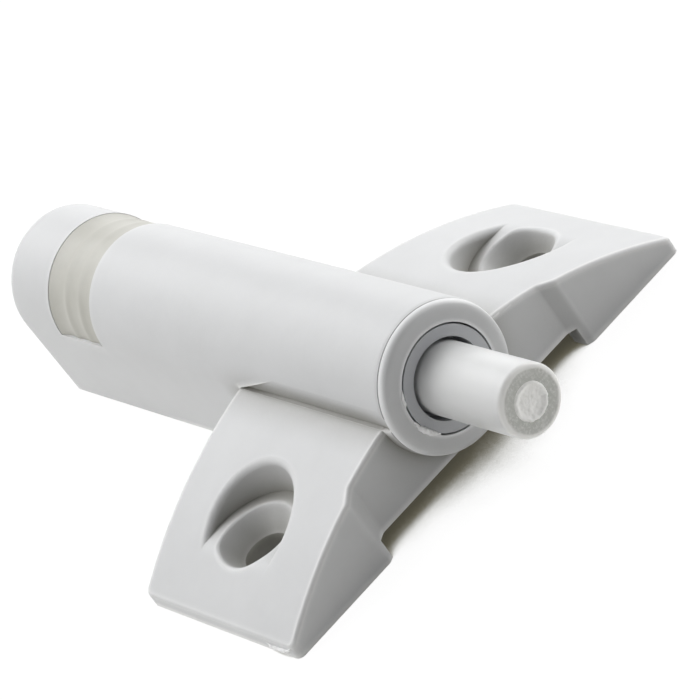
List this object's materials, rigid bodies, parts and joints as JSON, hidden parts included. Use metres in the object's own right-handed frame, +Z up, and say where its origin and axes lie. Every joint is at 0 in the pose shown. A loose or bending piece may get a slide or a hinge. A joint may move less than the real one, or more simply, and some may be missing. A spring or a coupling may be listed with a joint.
{
  "type": "soft close cabinet damper",
  "caption": "Plunger damper for cabinet doors in a light grey screw-on adapter with a round tube body and two sloping wings.",
  "frame": {"origin": "midway between the two screw axes, on the flat base", "axes": "+X along the damper towards the plunger tip, +Z up from the base, +Y to the left wing"},
  "size_m": [0.078, 0.0528, 0.0166],
  "materials": {
    "housing_plastic": "moulded light grey plastic",
    "sleeve_plastic": "moulded grey plastic",
    "plunger_plastic": "natural off-white plastic",
    "clip_plastic": "beige plastic",
    "steel": "ground steel",
    "rubber": "black rubber",
    "foam": "closed cell foam"
  },
  "bodies": {
    "adapter_body": {"adapter_housing": "housing_plastic", "locking_clip": "clip_plastic", "damper_sleeve": "sleeve_plastic", "front_bush": "sleeve_plastic", "piston_rod": "steel", "piston": "plunger_plastic", "piston_ring": "rubber", "valve_disc": "steel", "rod_clip": "steel", "return_spring": "steel", "end_buffer": "rubber"},
    "plunger_body": {"plunger": "plunger_plastic", "plunger_cap": "plunger_plastic", "rod_seal": "rubber", "seal_washer": "plunger_plastic", "foam_ring": "foam", "foam_retainer": "plunger_plastic"}
  },
  "joints": [
    {"name": "plunger_slide", "type": "slide", "parent": "adapter_body", "child": "plunger_body", "axis": [1, 0, 0], "range_m": [-0.0115, 0], "stiffness_N_per_m": 218, "springref_m": 0.0075, "deforming": ["return_spring"]}
  ]
}
